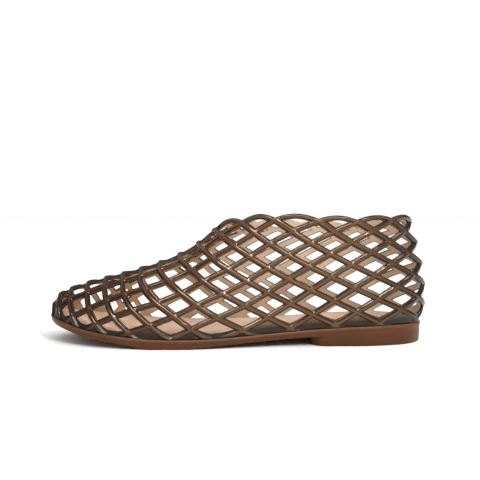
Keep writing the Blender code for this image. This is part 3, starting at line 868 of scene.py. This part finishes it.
# Insole: thin board that lies on the sole inside the cage
insoleValues = {
    "inset": 1.8,
    "stations": 110,
    "profile": (  # further inset, and height above its seat
        (0.25, 0.0), (0.0, 0.3), (0.0, 1.5), (0.15, 1.8), (0.45, 1.96), (0.9, 2.0), (4.0, 2.0),
    ),
    "cloud": (55.0, 5.0),  # scale and detail of a noise
    "colours": ((0.25, (0.58, 0.39, 0.27)), (0.5, (0.71, 0.49, 0.35)), (0.8, (0.78, 0.565, 0.41))),
    "toePaintedLight": (0.95, 0.63, 0.41),  # painted light: paler and warmer under the toes, lifting the shade that the cage casts there
    "toeFade": (-0.04, -0.085),
    "toeShare": 0.7,
    "nap": (900.0, 3.0),
    "napTint": ((0.3, (0.9, 0.89, 0.88)), (0.7, (1.06, 1.05, 1.04))),
    "napBump": (0.25, 0.0003),
    "roughness": 0.7,
    "sheen": 0.15,
}


def insoleFinish():
    material, tree, shader, place = newMaterial("tanInsole")
    colour = addRamp(tree, addNoise(tree, place, *insoleValues["cloud"]), insoleValues["colours"])
    # painted light towards the toe
    front = addSpan(tree, addLength(tree, place), *insoleValues["toeFade"], high=insoleValues["toeShare"])
    colour = addMix(tree, front, colour, insoleValues["toePaintedLight"])
    nap = addNoise(tree, place, *insoleValues["nap"])
    addTinted(tree, shader, colour, nap, insoleValues["napTint"])
    shader.inputs["Roughness"].default_value = insoleValues["roughness"]
    shader.inputs["Sheen Weight"].default_value = insoleValues["sheen"]
    addBump(tree, shader, nap, *insoleValues["napBump"])
    return material


def makeInsole():
    rings = []
    for inset, rise in insoleValues["profile"]:
        def height(x):
            return soleHeight(x, "top") + lastShape["seatGap"] + rise
        edge = outsoleValues["margin"] + insoleValues["inset"] + inset
        rings.append(soleRing(edge, height, insoleValues["stations"]))
    mesh = ringMesh("insole", rings, rungs)
    mesh.materials.append(insoleFinish())
    print("insole:", len(mesh.polygons), "faces")
    newPiece("insoleBoard", mesh, "insole")


# Heel: low block with a straight breast
heelValues = {
    "breastX": 45.5,
    "corner": 10.0,
    "cornerSteps": 14,
    "stations": 70,
    "searchColumns": 400,  # tried to find where the corner starts
    "profile": (  # inset from the sole's side, and place between the sole and the floor, with an added drop
        (0.0, 0.0, 0.02), (0.0, 0.0, 0.6), (0.5, 1.0, -0.9), (0.62, 1.0, -0.4), (0.9, 1.0, -0.12),
        (1.4, 1.0, 0.0),
    ),
}


def heelRing(inset, height):  # from one corner of the breast round the back to the other
    columns = np.linspace(toeColumn, backColumn, heelValues["searchColumns"])
    feather = readLast("feather", "x", columns)
    start = np.interp(heelValues["breastX"] + heelValues["corner"], feather, columns)
    columns = np.linspace(start, backColumn, heelValues["stations"] + 1)
    margin = outsoleValues["margin"] - outsoleValues["sideInset"] - inset
    walks = {}
    for side in (-1, 1):
        plan, _ = featherPlan(columns, np.full(len(columns), float(side)), margin)
        angle = 0.5 * np.pi * np.arange(heelValues["cornerSteps"]) / heelValues["cornerSteps"]
        reach = heelValues["corner"] * (1 - np.cos(angle)) + inset * np.cos(angle)
        tuck = heelValues["corner"] * (1 - np.sin(angle))
        corner = np.column_stack([heelValues["breastX"] + reach, plan[0, 1] - side * tuck])
        walks[side] = np.concatenate([corner, plan])
    walk = np.concatenate([walks[-1], walks[1][-2::-1]])
    return np.column_stack([walk, height(walk[:, 0])])


def heelRungs(count):  # the breast is an edge and the back is a point
    last = count - 1
    return [(i, i + 1, last - i - 1, last - i) for i in range(last // 2)]


def makeHeel():
    rings, heights = [], []
    for inset, share, drop in heelValues["profile"]:
        def height(x):
            return soleHeight(x, "bottom") * (1 - share) - drop
        rings.append(heelRing(inset, height))
        # the heel takes the lower half of the sole's colours: painted shade, darker towards the floor
        heights.append(0.5 + 0.5 * share)
    mesh = ringMesh("heel", rings, heelRungs, heights)
    mesh.materials.append(soleFinish("redBrownHeel"))
    print("heel:", len(mesh.polygons), "faces")
    newPiece("heelBlock", mesh, "heel")


# Studio: pale floor, soft light, the photograph's camera
studioValues = {
    "eye": (0.0, -485.0, 90.0),
    "lens": 53.4,
    "sensor": 36.0,
    "shiftDown": 0.071,
    "floorSize": 6.0,
    "floorScale": 3.0,
    "floorColours": ((0.3, (0.945, 0.945, 0.943)), (0.7, (0.955, 0.955, 0.953))),
    "floorRoughness": 0.7,
    "skyLow": 0.12,  # the walls of the room are darker than its ceiling
    "skyHigh": 1.5,
    "skyInShine": 0.35,  # the strips mirror the soft boxes more than the sky
    "backdrop": 1.05,
    "lights": (  # place, target, width and height, watts, and False where it only makes a shine
        ("topLight", (0.6, -0.05, 0.78), (0.0, 0, 0.04), (0.25, 0.4), 2.5, True),
        ("keyLight", (0.5, -0.9, 0.8), (0.03, 0, 0.05), (0.17, 0.22), 8.5, True),
        ("glossLight", (-0.05, -0.8, 1.05), (0.0, 0, 0.05), (0.9, 0.22), 30.0, False),
    ),
}


def makeFloor():
    size = studioValues["floorSize"]
    mesh = bpy.data.meshes.new("floor")
    corners = [(-size, -size, 0), (size, -size, 0), (size, size, 0), (-size, size, 0)]
    mesh.from_pydata(corners, [], [(0, 1, 2, 3)])
    material, tree, shader, place = newMaterial("paleFloor")
    cloud = addNoise(tree, place, studioValues["floorScale"])
    tree.links.new(addRamp(tree, cloud, studioValues["floorColours"]), shader.inputs["Base Color"])
    shader.inputs["Roughness"].default_value = studioValues["floorRoughness"]
    shader.inputs["Specular IOR Level"].default_value = 0.0
    mesh.materials.append(material)
    floor = addObject("floor", mesh)


def addLight(name, place, target, size, power, onSurfaces):
    light = bpy.data.lights.new(name, "AREA")
    light.shape = "RECTANGLE"
    light.size, light.size_y = size
    light.energy = power
    lamp = addObject(name, light)
    lamp.location = place
    aim = np.array(target) - np.array(place)
    yaw, tilt = math.atan2(aim[1], aim[0]), math.acos(-aim[2] / np.linalg.norm(aim))
    lamp.rotation_euler = (tilt, 0, yaw - math.pi / 2)
    lamp.visible_diffuse = onSurfaces


def makeSky():
    world = bpy.data.worlds.new("studio")
    world.use_nodes = True
    tree = world.node_tree
    facing = addNode(tree, "ShaderNodeTexCoord").outputs["Generated"]
    up = addNode(tree, "ShaderNodeSeparateXYZ", {"Vector": facing}).outputs["Z"]
    sky = addSpan(tree, up, 0.0, 1.0, studioValues["skyLow"], studioValues["skyHigh"])
    path = addNode(tree, "ShaderNodeLightPath").outputs
    dim = addMath(tree, "MULTIPLY", sky, studioValues["skyInShine"])
    seen = addNode(tree, "ShaderNodeMix", {0: path["Is Glossy Ray"], 2: sky, 3: dim}).outputs[0]
    glow = {0: path["Is Camera Ray"], 2: seen, 3: studioValues["backdrop"]}  # factor and the two strengths
    background = tree.nodes["Background"].inputs
    background["Color"].default_value = (1, 1, 1, 1)
    tree.links.new(addNode(tree, "ShaderNodeMix", glow).outputs[0], background["Strength"])
    bpy.context.scene.world = world


def makeCamera():
    scene = bpy.context.scene
    scene.view_settings.view_transform = "Standard"
    camera = addObject("camera", bpy.data.cameras.new("camera"))
    camera.data.lens = studioValues["lens"]
    camera.data.sensor_width = studioValues["sensor"]
    camera.data.shift_y = -studioValues["shiftDown"]
    camera.location = tuple((np.array(studioValues["eye"]) + shoeShift) * mm)
    camera.rotation_euler = (math.pi / 2, 0, 0)
    scene.camera = camera


shoeShift = shiftToFrame()
makeCage()
makeOutsole()
makeInsole()
makeHeel()
print("pieces done")
makeFloor()
makeSky()
for lightValues in studioValues["lights"]:
    addLight(*lightValues)
makeCamera()
print("studio done")
